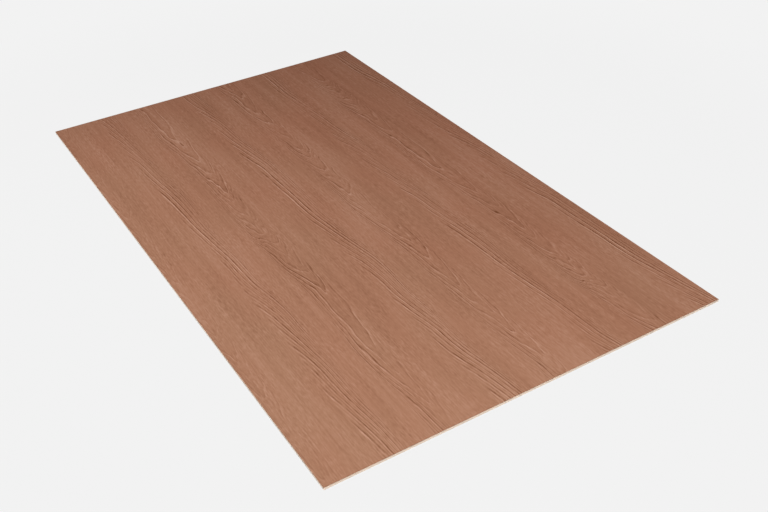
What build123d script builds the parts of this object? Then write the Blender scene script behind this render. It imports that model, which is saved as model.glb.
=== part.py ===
"""Wood-plastic composite cladding panel: a full sheet, lying on its back with the decor face up.

A pale foamed wood-plastic board carries an embossed wood-grain film on its face. The film is
trimmed flush with the board on all four sides, so the pale core shows all round the cut edge.

Frame, in millimetres: the origin is the middle of the back face. X runs across the sheet,
Y along its length and its grain, and Z out of the decor face.
"""
import os

from build123d import *

# The sheet
SHEET_WIDTH = 1220.0
SHEET_LENGTH = 2050.0

# The foamed core, and the broken edge that sawing and sanding leave round its back
CORE_THICKNESS = 7.6
BACK_ARRIS = 0.5

# The decor film, and the narrow bevel that the flush-trimming cutter leaves round its face
FILM_THICKNESS = 0.4
TRIM_BEVEL = 0.15

# No broken edge takes more than this share of the layer that it is cut in
LARGEST_EDGE_SHARE = 0.5


def layer(thickness, base_height):
    """A sheet-sized slab of one layer, with its underside at the given height."""
    outline = Rectangle(SHEET_WIDTH, SHEET_LENGTH)
    return Pos(0, 0, base_height) * extrude(outline, amount=thickness)


def core_board():
    """The foamed board, with its back edges broken."""
    slab = layer(CORE_THICKNESS, 0)
    back_edges = slab.faces().sort_by(Axis.Z)[0].edges()
    return chamfer(back_edges, min(BACK_ARRIS, LARGEST_EDGE_SHARE * CORE_THICKNESS))


def decor_film():
    """The wood-grain film on the board's face, with the trimming bevel round its top."""
    slab = layer(FILM_THICKNESS, CORE_THICKNESS)
    face_edges = slab.faces().sort_by(Axis.Z)[-1].edges()
    return chamfer(face_edges, min(TRIM_BEVEL, LARGEST_EDGE_SHARE * FILM_THICKNESS))


PIECES = {
    "core_board": core_board,
    "decor_film": decor_film,
}

os.makedirs("parts", exist_ok=True)
for name, make in PIECES.items():
    export_step(make(), f"parts/{name}.step")
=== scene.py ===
"""Wood-plastic composite cladding panel: its embossed wood-grain film, its pale foamed core, and the studio.

Lengths are metres in the part's own frame: X runs across the sheet, Y along its length and its grain,
and Z out of the decor face. Colours are written as a screen shows them, from 0 to 255.
"""
import math

import bpy
from mathutils import Matrix, Vector


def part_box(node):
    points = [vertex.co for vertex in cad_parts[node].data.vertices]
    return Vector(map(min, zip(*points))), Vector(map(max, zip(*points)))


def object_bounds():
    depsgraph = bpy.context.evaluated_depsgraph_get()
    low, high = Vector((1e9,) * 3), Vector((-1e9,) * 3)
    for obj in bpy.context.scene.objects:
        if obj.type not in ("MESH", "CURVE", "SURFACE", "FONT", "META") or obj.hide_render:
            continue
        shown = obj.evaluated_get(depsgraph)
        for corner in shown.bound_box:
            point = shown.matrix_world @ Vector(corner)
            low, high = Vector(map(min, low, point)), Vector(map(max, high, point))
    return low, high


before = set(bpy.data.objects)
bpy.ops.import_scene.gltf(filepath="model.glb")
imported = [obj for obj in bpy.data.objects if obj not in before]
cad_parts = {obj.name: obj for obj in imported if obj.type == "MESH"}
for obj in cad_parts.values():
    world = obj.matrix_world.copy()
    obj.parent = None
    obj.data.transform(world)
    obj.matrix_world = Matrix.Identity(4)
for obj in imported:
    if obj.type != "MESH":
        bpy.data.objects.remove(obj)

CAD_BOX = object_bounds()
LOWEST, HIGHEST = CAD_BOX
SHEET_WIDTH = HIGHEST[0] - LOWEST[0]
SHEET_LENGTH = HIGHEST[1] - LOWEST[1]
LEFT_EDGE = LOWEST[0]
FAR_END = HIGHEST[1]
FACE_HEIGHT = HIGHEST[2]
BOND_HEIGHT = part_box("decor_film")[0][2]

# The camera: where it stands, the point of the face at the middle of its picture, its tilt sideways, and
# the millimetres of its lens and of its sensor's width
CAMERA_PLACE = (-1.2453, -2.4496, 1.7109)
CAMERA_TARGET = (-0.0319, -0.3352, FACE_HEIGHT)
CAMERA_ROLL = math.radians(-2.708)
CAMERA_LENS = 47.52
SENSOR_WIDTH = 36.0

# The lamps, in metres and watts. Each faces the middle of the sheet.
SOFTBOXES = {
    "front_softbox": dict(place=(-0.46, -2.17, 2.60), width=2.5, height=1.2, power=90.0),
    "side_softbox": dict(place=(-1.22, 0.62, 1.59), width=1.6, height=1.6, power=19.4),
}

# The fill from low all round, and the heights of its direction between which it fades from full to none,
# from 0 for level to 1 for straight up
ROOM_LIGHT = 2.0
ROOM_LIGHT_LOW = 0.05
ROOM_LIGHT_HIGH = 0.35
ROOM_WHITE = (255, 255, 255)

# The backdrop, and the floor, which shows as the backdrop but for a share of the light and shadow that fall
# on it. That share fades out between two distances from the middle of the sheet.
BACKDROP = (242, 242, 242)
FLOOR_WHITE = (231, 231, 231)
FLOOR_SIZE = 60.0
SHADOW_SHARE = 0.03
SHADOW_FADE_START = 1.25
SHADOW_FADE_END = 2.1


class Field:
    """A number that varies over a surface. Arithmetic on fields adds maths nodes to the material."""

    def __init__(self, tree, socket):
        self.tree = tree
        self.socket = socket

    def maths(self, operation, *others):
        node = self.tree.nodes.new("ShaderNodeMath")
        node.operation = operation
        for entry, value in zip(node.inputs, (self, *others)):
            feed(self.tree, entry, value)
        return Field(self.tree, node.outputs[0])

    def __add__(self, other):
        return self.maths("ADD", other)

    def __sub__(self, other):
        return self.maths("SUBTRACT", other)

    def __mul__(self, other):
        return self.maths("MULTIPLY", other)

    def __truediv__(self, other):
        return self.maths("DIVIDE", other)

    def __neg__(self):
        return self * -1.0

    def size(self):
        return self.maths("ABSOLUTE")

    def log(self):
        return self.maths("LOGARITHM", math.e)

    def exponential(self):
        return self.maths("EXPONENT")

    def power(self, exponent):
        return self.maths("POWER", exponent)

    def root(self):
        return self.maths("SQRT")

    def floor(self):
        return self.maths("FLOOR")

    def nearest_whole(self):
        return self.maths("ROUND")

    def wrap(self, length):
        return self.maths("FLOORED_MODULO", length)

    def at_least(self, low):
        return self.maths("MAXIMUM", low)

    def at_most(self, high):
        return self.maths("MINIMUM", high)

    def rise(self, start, end):
        """0 below start and 1 above end, with a smooth step between them. It falls if end is under start."""
        node = self.tree.nodes.new("ShaderNodeMapRange")
        node.interpolation_type = "SMOOTHSTEP"
        feed(self.tree, node.inputs["Value"], self)
        node.inputs["From Min"].default_value = start
        node.inputs["From Max"].default_value = end
        return Field(self.tree, node.outputs["Result"])

    def curve(self, points):
        """The value of straight lines through points, which run from 0 to 1 both ways."""
        node = self.tree.nodes.new("ShaderNodeFloatCurve")
        line = node.mapping.curves[0]
        while len(line.points) < len(points):
            line.points.new(0.5, 0.5)
        for point, place in zip(line.points, points):
            point.location = place
            point.handle_type = "VECTOR"
        node.mapping.update()
        feed(self.tree, node.inputs["Value"], self)
        return Field(self.tree, node.outputs["Value"])


def feed(tree, entry, value):
    """Links a field or a socket to a node's entry, or writes a plain value there."""
    if isinstance(value, Field):
        tree.links.new(value.socket, entry)
    elif isinstance(value, bpy.types.NodeSocket):
        tree.links.new(value, entry)
    else:
        entry.default_value = value


def add_up(fields):
    """The sum of some fields."""
    first, *others = fields
    for other in others:
        first = first + other
    return first


def colour(red, green, blue):
    """A screen colour as the linear light that Blender works in."""
    shares = [value / 255 for value in (red, green, blue)]
    return [s / 12.92 if s <= 0.04045 else ((s + 0.055) / 1.055) ** 2.4 for s in shares] + [1.0]


def blank_material(name):
    """A material with an empty node tree and its output."""
    material = bpy.data.materials.new(name)
    material.use_nodes = True
    tree = material.node_tree
    tree.nodes.clear()
    output = tree.nodes.new("ShaderNodeOutputMaterial")
    return material, tree, output


def places(tree):
    """The surface's x, y and z as fields. In the room they are those of the direction instead."""
    coordinates = tree.nodes.new("ShaderNodeTexCoord")
    split = tree.nodes.new("ShaderNodeSeparateXYZ")
    tree.links.new(coordinates.outputs["Object"], split.inputs[0])
    return [Field(tree, socket) for socket in split.outputs]


def upright_share(tree):
    """1 where the surface faces straight up, 0 on an upright edge and -1 underneath."""
    geometry = tree.nodes.new("ShaderNodeNewGeometry")
    split = tree.nodes.new("ShaderNodeSeparateXYZ")
    tree.links.new(geometry.outputs["True Normal"], split.inputs[0])
    return Field(tree, split.outputs["Z"])


def noise(across, along, width, length, seed, detail=1.0):
    """Soft noise round 0 whose patches are about width across and length along."""
    tree = across.tree
    place = tree.nodes.new("ShaderNodeCombineXYZ")
    feed(tree, place.inputs[0], across / width)
    feed(tree, place.inputs[1], along / length)
    place.inputs[2].default_value = seed
    node = tree.nodes.new("ShaderNodeTexNoise")
    node.inputs["Scale"].default_value = 1.0
    node.inputs["Detail"].default_value = detail
    tree.links.new(place.outputs[0], node.inputs["Vector"])
    return (Field(tree, node.outputs["Fac"]) - 0.5) * 2.0


def blend(tree, share, low, high):
    """A colour that is low where share is 0 and high where it is 1."""
    node = tree.nodes.new("ShaderNodeMix")
    node.data_type = "RGBA"
    feed(tree, node.inputs[0], share)
    feed(tree, node.inputs[6], low)
    feed(tree, node.inputs[7], high)
    return node.outputs[2]


def raise_surface(tree, height, depth):
    """A bumped normal. A step of 1 in the height field is depth metres."""
    node = tree.nodes.new("ShaderNodeBump")
    node.inputs["Strength"].default_value = 1.0
    node.inputs["Distance"].default_value = depth
    feed(tree, node.inputs["Height"], height)
    return node.outputs["Normal"]


def coat(tree, output, base, roughness, gloss, normal):
    """The shader of a plastic surface, from its colour, roughness, gloss and normal."""
    shader = tree.nodes.new("ShaderNodeBsdfPrincipled")
    shader.inputs["Specular IOR Level"].default_value = gloss
    feed(tree, shader.inputs["Base Color"], base)
    feed(tree, shader.inputs["Roughness"], roughness)
    feed(tree, shader.inputs["Normal"], normal)
    tree.links.new(shader.outputs[0], output.inputs["Surface"])


# The printed grain: how far along it repeats, how wide its group of four strips is, how far from the left
# edge a group starts, and how far along the next group across starts
PRINT_REPEAT = 1.425
GROUP_WIDTH = 0.660
GROUP_START = 0.090
GROUP_DROP = 0.714

# The four strips, from the left of their group: where a feather's left side or a cathedral's middle lies,
# and how bold the strip is. Each ring is how far along the print it starts on a feather's left side, or
# comes to its point in a cathedral, and how bold it is.
LEFT_FEATHER = dict(
    side=0.066,
    boldness=0.85,
    rings=((0.42, 0.8), (0.605, 1.6), (0.78, 0.6), (1.07, 0.3), (1.25, 0.5), (1.345, 0.9), (1.43, 0.4),
           (1.54, 0.8), (1.64, 0.4), (1.75, 0.9)),
)
LEFT_CATHEDRAL = dict(
    middle=0.254,
    boldness=0.85,
    rings=((0.35, 1.0), (0.51, 0.8), (0.635, 0.5), (0.74, 1.1), (0.81, 0.4), (0.93, 0.8), (0.98, 0.5),
           (1.045, 0.8), (1.077, 0.3), (1.11, 0.7), (1.18, 0.4), (1.30, 0.6), (1.415, 1.2)),
)
RIGHT_FEATHER = dict(
    side=0.400,
    boldness=1.0,
    rings=((0.545, 1.5), (0.675, 1.3), (0.945, 0.5), (1.17, 0.4), (1.26, 0.6), (1.345, 0.9), (1.54, 1.1),
           (1.64, 0.5), (1.73, 0.8), (1.855, 0.6)),
)
RIGHT_CATHEDRAL = dict(
    middle=0.588,
    boldness=0.95,
    rings=((0.30, 0.8), (0.41, 1.1), (0.545, 0.5), (0.655, 0.4), (0.705, 0.8), (0.74, 0.5), (0.82, 1.0),
           (0.90, 0.5), (1.005, 1.0), (1.17, 0.5), (1.33, 0.7), (1.435, 1.2), (1.58, 1.1)),
)
LARGEST_BOLDNESS = 2.0

# A feather: its rings leave its left side one by one and drift to its right side, ever closer together.
# FEATHER_RINGS of them are crossed in the first 63 percent of its width. The fades are shares of the width.
FEATHER_WIDTH = 0.082
FEATHER_RINGS = 4.2
FEATHER_FADE_IN = (-0.03, 0.12)
FEATHER_FADE_OUT = (0.95, 0.65)

# A cathedral: its rings come down both flanks, closer together outwards, and meet in a point. LEFT_RINGS
# and RIGHT_RINGS of them are crossed in the first 70 percent of a flank's reach. They lie level at the
# point, and POINT_STEEPENING is how fast they steepen from there. The flanks blend in a narrow middle, and
# the right one is fainter. The fades are shares of the reach, and the finer rings are faintest in the middle.
LEFT_REACH = 0.060
RIGHT_REACH = 0.036
LEFT_RINGS = 3.2
RIGHT_RINGS = 1.0
POINT_ROUNDNESS = 1.3
POINT_STEEPENING = 3.0
MIDDLE_BLEND = 0.001
FLANK_FADE_OUT = (1.0, 0.60)
RIGHT_FAINTNESS = 0.4
FINE_FADE_IN = (0.0, 0.5)
FINE_AT_MIDDLE = 0.2

# Past this share of a feather's width or a flank's reach, the rings get no closer together
CLOSEST_REACH = 0.92

# A ring's line: half its width across the grain, half its length along it, and the largest share of the gap
# to the next ring that such a half may be. LIGHT_LINE_OFFSET is how many halves further on the light line
# lies, and the slope is the broad change from dark to light across the ring. SMALLEST_GAP stands in for the
# gap between the strips, where there are no rings.
LINE_WIDTH = 0.0019
LINE_LENGTH = 0.0055
WIDEST_LINE = 0.2
LIGHT_LINE_OFFSET = 1.8
LIGHT_LINE_STRENGTH = 0.7
SLOPE_STEEPNESS = 5.0
SLOPE_STRENGTH = 0.8
SMALLEST_GAP = 0.01

# How many finer rings there are to a bold one, and how strong the lines of both kinds are
FINE_RINGS = 2
BOLD_STRENGTH = 0.62
FINE_STRENGTH = 0.31

# What keeps the lines irregular: how far a strip meanders and its lines sway across, how far its rings are
# bent and ragged along, and by how many rings its lines wander. A feather takes less of it all than a
# cathedral, but for the meander.
MEANDER = 0.022
SWAY = 0.0025
BEND = 0.040
RAGGEDNESS = 0.012
WANDER = 0.6
FEATHER_WAVINESS = 0.30
CATHEDRAL_WAVINESS = 1.0

# How strong the lines are, and how much that changes from place to place. By the sheet's left edge only
# EDGE_VIGOUR of it is left. Along their length the lines are more or less broken.
VIGOUR = 0.9
VIGOUR_CHANGE = 0.8
EDGE_VIGOUR = 0.4
EDGE_VIGOUR_RISE = (0.03, 0.10)
WHOLENESS = 0.9
BROKENNESS = 1.5


def started_rings(along, rings):
    """How many rings have started by a place along the print, and the gap between two of them there."""
    starts = sorted(start % PRINT_REPEAT for start, bold in rings)
    count = len(starts)
    gaps = [(start - before) % PRINT_REPEAT for start, before in zip(starts, starts[-1:] + starts[:-1])]
    round_gaps = [(gap + after) / 2 for gap, after in zip(gaps, gaps[1:] + gaps[:1])]
    # The print's end is this share of the way from its last ring to the first one of its next repeat
    end_share = (PRINT_REPEAT - starts[-1]) / gaps[0]
    end_gap = round_gaps[-1] + (round_gaps[0] - round_gaps[-1]) * end_share
    places_along = [0.0] + [start / PRINT_REPEAT for start in starts] + [1.0]
    numbers = [end_share] + [n + 1.0 for n in range(count)] + [count + end_share]
    numbers = [number / (count + 1) for number in numbers]
    widest = max(round_gaps)
    gaps_along = [gap / widest for gap in [end_gap] + round_gaps + [end_gap]]
    share = along.wrap(PRINT_REPEAT) / PRINT_REPEAT
    number = share.curve(list(zip(places_along, numbers)))
    gap = share.curve(list(zip(places_along, gaps_along)))
    return number * (count + 1.0), gap * widest


def ring_boldness(number, rings):
    """How bold the ring is that is nearest to a ring number."""
    in_order = sorted((start % PRINT_REPEAT, bold) for start, bold in rings)
    heights = [bold / LARGEST_BOLDNESS for start, bold in in_order]
    count = len(heights)
    points = [(n / count, height) for n, height in enumerate(heights[-1:] + heights)]
    return (number.nearest_whole() / count).wrap(1.0).curve(points) * LARGEST_BOLDNESS


def feather(across, design):
    """The rings crossed from a feather's left side, how many there are to a metre, and how well they show.

    The last two fields are how well its bold rings show and how well its finer ones do.
    """
    reach = (across - design["side"]) / FEATHER_WIDTH
    rest = -reach.at_least(0.0).at_most(CLOSEST_REACH) + 1.0
    crossed = rest.log() * FEATHER_RINGS
    steepness = rest.power(-1.0) * (FEATHER_RINGS / FEATHER_WIDTH)
    shown = reach.rise(*FEATHER_FADE_IN) * reach.rise(*FEATHER_FADE_OUT)
    return crossed, steepness, shown, shown


def cathedral(across, design):
    """The same four fields for a cathedral, whose rings are crossed from its middle."""
    offset = across - design["middle"]
    right = offset.rise(-MIDDLE_BLEND, MIDDLE_BLEND)
    flank = right * (RIGHT_REACH - LEFT_REACH) + LEFT_REACH
    reach = offset.size() / flank
    rest = -reach.at_most(CLOSEST_REACH).power(POINT_ROUNDNESS) + 1.0
    ring_share = right * (RIGHT_RINGS - LEFT_RINGS) + LEFT_RINGS
    crossed = -rest.log() * ring_share
    steepness = ring_share * (reach * POINT_STEEPENING).at_most(1.0) / (rest * flank)
    shown = reach.rise(*FLANK_FADE_OUT) * (-right * RIGHT_FAINTNESS + 1.0)
    fine_shown = shown * (reach.rise(*FINE_FADE_IN) * (1.0 - FINE_AT_MIDDLE) + FINE_AT_MIDDLE)
    return crossed, steepness, shown, fine_shown


STRIPS = (
    (feather, LEFT_FEATHER, FEATHER_WAVINESS),
    (cathedral, LEFT_CATHEDRAL, CATHEDRAL_WAVINESS),
    (feather, RIGHT_FEATHER, FEATHER_WAVINESS),
    (cathedral, RIGHT_CATHEDRAL, CATHEDRAL_WAVINESS),
)


def strip_rings(shape, design, across, along, wander):
    """A strip's ring numbers, their gap and their steepness, and how well its bold and finer rings show.

    All of them are 0 outside the strip, so that the strips can be added up.
    """
    crossed, steepness, shown, fine_shown = shape(across, design)
    started, gap = started_rings(along, design["rings"])
    number = started + crossed + wander
    bold_shown = ring_boldness(number, design["rings"]) * shown * design["boldness"]
    inside = shown.maths("GREATER_THAN", 0.0)
    return number * inside, gap * inside, steepness * inside, bold_shown, fine_shown


def ring_lines(number, spread):
    """Each ring's dark line with the light line beside it, and a broader slope from dark to light."""
    share = number - number.nearest_whole()
    offset = share / spread.at_most(WIDEST_LINE)
    dark = (-(offset * offset)).exponential()
    light = offset - LIGHT_LINE_OFFSET
    light = (-(light * light)).exponential()
    slope = share * SLOPE_STEEPNESS
    slope = slope * (-(slope * slope)).exponential()
    return dark - light * LIGHT_LINE_STRENGTH - slope * SLOPE_STRENGTH


def grain_lines(x, y):
    """The grain's lines over the whole face: above 0 where they are dark and below 0 where they are light."""
    down = -y + FAR_END
    across = x - LEFT_EDGE
    group = ((across - GROUP_START) / GROUP_WIDTH).floor()
    along = down - group * GROUP_DROP
    folded = (across - GROUP_START).wrap(GROUP_WIDTH)
    folded = folded + noise(folded, along, width=0.20, length=0.40, seed=3.0) * MEANDER
    sway = noise(folded, along, width=0.03, length=0.08, seed=7.0) * SWAY
    bend = noise(folded, along, width=0.022, length=0.15, seed=19.0) * BEND
    ragged = noise(folded, along, width=0.0050, length=0.040, seed=11.0, detail=2.0) * RAGGEDNESS
    wander = noise(folded, along, width=0.020, length=0.120, seed=13.0) * WANDER
    strips = []
    for shape, design, waviness in STRIPS:
        strip_across = folded + sway * waviness
        strip_along = along + (bend + ragged) * waviness
        strips.append(strip_rings(shape, design, strip_across, strip_along, wander * waviness))
    number, gap, steepness, bold_shown, fine_shown = [add_up(fields) for fields in zip(*strips)]
    along_share = gap.at_least(SMALLEST_GAP).power(-1.0) * LINE_LENGTH
    spread = ((steepness * LINE_WIDTH).power(2.0) + along_share.power(2.0)).root()
    bold = ring_lines(number, spread) * bold_shown
    fine = ring_lines(number * FINE_RINGS, spread * FINE_RINGS) * fine_shown
    vigour = noise(across, down, width=0.10, length=0.20, seed=27.0) * VIGOUR_CHANGE + VIGOUR
    vigour = vigour * (across.rise(*EDGE_VIGOUR_RISE) * (1.0 - EDGE_VIGOUR) + EDGE_VIGOUR)
    broken = noise(across, down, width=0.006, length=0.036, seed=29.0, detail=2.0) * BROKENNESS + WHOLENESS
    return (bold * BOLD_STRENGTH + fine * FINE_STRENGTH) * vigour * broken.at_least(0.0)


# The film's colours: its plain face, deep at its far right and paler at its near left, which is a painted
# sheen, with random patches between the two, then the grain's lines, the pores and the cut side
DEEP_FACE = (166, 113, 89)
PALE_AND_SHEENED_FACE = (165, 121, 96)
DARK_LINE = (108, 63, 38)
LIGHT_LINE = (202, 158, 136)
PORE_BROWN = (112, 72, 54)
FILM_SECTION = (84, 62, 50)

# How strong the film's other marks are beside the grain's lines. The speckle is rougher in some places
# than in others, and smoothest where LEAST_SPECKLE of it is left.
STREAK_STRENGTH = 0.30
SPECKLE_STRENGTH = 0.46
SPECKLE_CHANGE = 1.2
LEAST_SPECKLE = 0.3
RIBBON_STRENGTH = 0.24
BAND_STRENGTH = 0.33

# How far the strongest marks and pores go to their own colours, and how far patches stray from the painted
# sheen's gradient
DARK_SHARE = 0.85
LIGHT_SHARE = 0.80
PORE_SHARE = 0.22
PATCH_DRIFT = 0.8

# The level of noise where a pore starts and where it is full, and how upright the film is where its cut
# side ends and where its face starts
PORE_RISE = (0.25, 0.60)
FACE_RISE = (0.2, 0.6)

# The film's relief, by the depth of its embossing and the shares of it that marks and pores take, and its
# roughness, which marks and pores add to
EMBOSSING_DEPTH = 0.00012
MARK_RELIEF = 0.5
PORE_RELIEF = 0.25
FILM_GLOSS = 0.005
FILM_ROUGHNESS = 0.62
MARK_ROUGHNESS = 0.06
PORE_ROUGHNESS = 0.08


def film_material():
    """The decor film: printed and embossed wood grain with pores, on vinyl."""
    material, tree, output = blank_material("wood_grain_film")
    x, y = places(tree)[:2]
    down = -y + FAR_END
    lines = grain_lines(x, y)
    pores = noise(x, down, width=0.0011, length=0.012, seed=41.0).rise(*PORE_RISE)
    streaks = noise(x, down, width=0.0045, length=0.25, seed=53.0, detail=2.0) * STREAK_STRENGTH
    speckle = noise(x, down, width=0.0045, length=0.022, seed=61.0, detail=2.0)
    roughened = noise(x, down, width=0.05, length=0.14, seed=67.0) * SPECKLE_CHANGE + 1.0
    speckle = speckle * roughened.at_least(LEAST_SPECKLE) * SPECKLE_STRENGTH
    ribbons = noise(x, down, width=0.022, length=0.45, seed=89.0) * RIBBON_STRENGTH
    bands = noise(x, down, width=0.120, length=0.90, seed=83.0, detail=2.0) * BAND_STRENGTH
    tone = lines + streaks + speckle + ribbons + bands
    patches = noise(x, down, width=0.15, length=0.34, seed=73.0) * PATCH_DRIFT
    # Paler and greyer towards the near left as a painted sheen; the patches are the print's own tone.
    sheen_and_patches = y / -SHEET_LENGTH - x / SHEET_WIDTH + patches
    face = blend(tree, sheen_and_patches * 0.5 + 0.5, colour(*DEEP_FACE), colour(*PALE_AND_SHEENED_FACE))
    face = blend(tree, tone.at_least(0.0).at_most(1.0) * DARK_SHARE, face, colour(*DARK_LINE))
    face = blend(tree, (-tone).at_least(0.0).at_most(1.0) * LIGHT_SHARE, face, colour(*LIGHT_LINE))
    face = blend(tree, pores * PORE_SHARE, face, colour(*PORE_BROWN))
    face = blend(tree, upright_share(tree).rise(*FACE_RISE), colour(*FILM_SECTION), face)
    normal = raise_surface(tree, tone * -MARK_RELIEF - pores * PORE_RELIEF, EMBOSSING_DEPTH)
    roughness = tone * MARK_ROUGHNESS + pores * PORE_ROUGHNESS + FILM_ROUGHNESS
    coat(tree, output, face, roughness, FILM_GLOSS, normal)
    return material


# The core's colours: its foam, its closer skin, the wood flour in it, and the glue line under the film,
# which is darkened further as painted shade under the film's edge
CORE_CREAM = (218, 200, 183)
SKIN_CREAM = (222, 207, 192)
FLOUR_TAN = (180, 145, 116)
BOND_AND_SHADE_BROWN = (120, 92, 76)

# How deep the skin and the glue line with its painted shade go, and how far flour, mottling and that line go
# to their own colours
SKIN_DEPTH = 0.0012
BOND_AND_SHADE_DEPTH = 0.0004
FLOUR_SHARE = 0.35
MOTTLE_SHARE = 0.12
BOND_AND_SHADE_SHARE = 0.8

# The level of noise where a fleck of flour starts and where it is full, and how upright the core is where
# its sanded back ends and where its cut edge starts
FLOUR_RISE = (0.30, 0.55)
EDGE_RISE = (0.5, 0.1)

# The core's relief, by its depth and the shares of it that saw marks, cells and sanding take, and its
# roughness, which the cells add to
RELIEF_DEPTH = 0.00008
SAW_RELIEF = 0.6
CELL_RELIEF = 0.4
SANDING_RELIEF = 0.5
CORE_GLOSS = 0.2
CORE_ROUGHNESS = 0.75
CELL_ROUGHNESS = 0.05


def core_material():
    """The foamed core: fine cells and wood flour, saw marks on the cut edges, and a sanded back."""
    material, tree, output = blank_material("foamed_core")
    x, y, z = places(tree)
    on_edge = upright_share(tree).size().rise(*EDGE_RISE)
    round_edge = x + y
    depth = z.maths("PINGPONG", BOND_HEIGHT / 2)
    flour = noise(x + z, y, width=0.0016, length=0.0030, seed=5.0, detail=2.0).rise(*FLOUR_RISE)
    cells = noise(round_edge, z, width=0.0007, length=0.0006, seed=9.0)
    saw_marks = noise(round_edge, z, width=0.0022, length=0.020, seed=15.0, detail=2.0)
    sanding = noise(x, y, width=0.0012, length=0.25, seed=21.0, detail=2.0)
    mottle = noise(x + z, y, width=0.030, length=0.060, seed=33.0) * 0.5 + 0.5
    # A dark band at the top of the cut edges, under the film: a glue line, and partly painted shade from the
    # film's edge.
    bond_and_shade = z.rise(BOND_HEIGHT - BOND_AND_SHADE_DEPTH, BOND_HEIGHT)
    foam = blend(tree, depth.rise(0.0, SKIN_DEPTH), colour(*SKIN_CREAM), colour(*CORE_CREAM))
    foam = blend(tree, flour * FLOUR_SHARE, foam, colour(*FLOUR_TAN))
    foam = blend(tree, mottle * MOTTLE_SHARE, foam, colour(*FLOUR_TAN))
    foam = blend(tree, bond_and_shade * BOND_AND_SHADE_SHARE, foam, colour(*BOND_AND_SHADE_BROWN))
    edge_height = on_edge * (saw_marks * SAW_RELIEF + cells * CELL_RELIEF)
    back_height = (-on_edge + 1.0) * sanding * SANDING_RELIEF
    normal = raise_surface(tree, edge_height + back_height, RELIEF_DEPTH)
    roughness = cells * CELL_ROUGHNESS + CORE_ROUGHNESS
    coat(tree, output, foam, roughness, CORE_GLOSS, normal)
    return material


def seen_directly(tree):
    """1 for rays from the camera, a reflection or a clear material, and 0 for the light itself."""
    path = tree.nodes.new("ShaderNodeLightPath")
    rays = [Field(tree, path.outputs[f"Is {kind} Ray"]) for kind in ("Camera", "Glossy", "Transmission")]
    return add_up(rays).at_most(1.0)


def mix_shaders(tree, share, low, high, output):
    """Sends the output a shader that is low where share is 0 and high where it is 1."""
    mix = tree.nodes.new("ShaderNodeMixShader")
    feed(tree, mix.inputs[0], share)
    tree.links.new(low.outputs[0], mix.inputs[1])
    tree.links.new(high.outputs[0], mix.inputs[2])
    tree.links.new(mix.outputs[0], output.inputs["Surface"])


def floor():
    """A pale floor that shows as the backdrop and keeps a soft shadow round the sheet."""
    bpy.ops.mesh.primitive_plane_add(size=FLOOR_SIZE)
    plane = bpy.context.object
    plane.name = "floor"
    material, tree, output = blank_material("pale_floor")
    diffuse = tree.nodes.new("ShaderNodeBsdfDiffuse")
    diffuse.inputs["Color"].default_value = colour(*FLOOR_WHITE)
    glow = tree.nodes.new("ShaderNodeEmission")
    glow.inputs["Color"].default_value = colour(*BACKDROP)
    x, y = places(tree)[:2]
    distance = (x * x + y * y).root()
    lit_share = distance.rise(SHADOW_FADE_END, SHADOW_FADE_START) * SHADOW_SHARE
    mix_shaders(tree, seen_directly(tree) * (-lit_share + 1.0), diffuse, glow, output)
    plane.data.materials.append(material)


def room():
    """A fill that reaches the edges that the lamps don't. The room itself shows as the backdrop."""
    world = bpy.data.worlds.new("studio")
    world.use_nodes = True
    tree = world.node_tree
    tree.nodes.clear()
    output = tree.nodes.new("ShaderNodeOutputWorld")
    height = places(tree)[2]
    fill = tree.nodes.new("ShaderNodeBackground")
    fill.inputs["Color"].default_value = colour(*ROOM_WHITE)
    feed(tree, fill.inputs["Strength"], height.rise(ROOM_LIGHT_HIGH, ROOM_LIGHT_LOW) * ROOM_LIGHT)
    backdrop = tree.nodes.new("ShaderNodeBackground")
    backdrop.inputs["Color"].default_value = colour(*BACKDROP)
    mix_shaders(tree, seen_directly(tree), fill, backdrop, output)
    bpy.context.scene.world = world


def facing(place, target, roll=0.0):
    """The placing of a lamp or camera at place that looks at target."""
    aim = (Vector(target) - Vector(place)).to_track_quat("-Z", "Y").to_matrix().to_4x4()
    return Matrix.Translation(place) @ aim @ Matrix.Rotation(roll, 4, "Z")


def softbox(name, place, width, height, power):
    """A rectangular lamp that faces the middle of the sheet."""
    lamp = bpy.data.lights.new(name, "AREA")
    lamp.shape = "RECTANGLE"
    lamp.size = width
    lamp.size_y = height
    lamp.energy = power
    holder = bpy.data.objects.new(name, lamp)
    holder.matrix_world = facing(place, (0, 0, 0))
    holder.visible_camera = False
    bpy.context.collection.objects.link(holder)


def camera():
    """The photograph's viewpoint."""
    lens = bpy.data.cameras.new("camera")
    lens.lens = CAMERA_LENS
    lens.sensor_width = SENSOR_WIDTH
    holder = bpy.data.objects.new("camera", lens)
    holder.matrix_world = facing(CAMERA_PLACE, CAMERA_TARGET, CAMERA_ROLL)
    bpy.context.collection.objects.link(holder)
    bpy.context.scene.camera = holder


def dress(node, material):
    """Gives a CAD piece its material, and leaves its shape alone."""
    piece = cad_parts[node]
    for slot in piece.material_slots:
        slot.material = material


camera()
room()
floor()
for name, design in SOFTBOXES.items():
    softbox(name, **design)
dress("decor_film", film_material())
dress("core_board", core_material())

bpy.context.scene.view_settings.view_transform = "Standard"
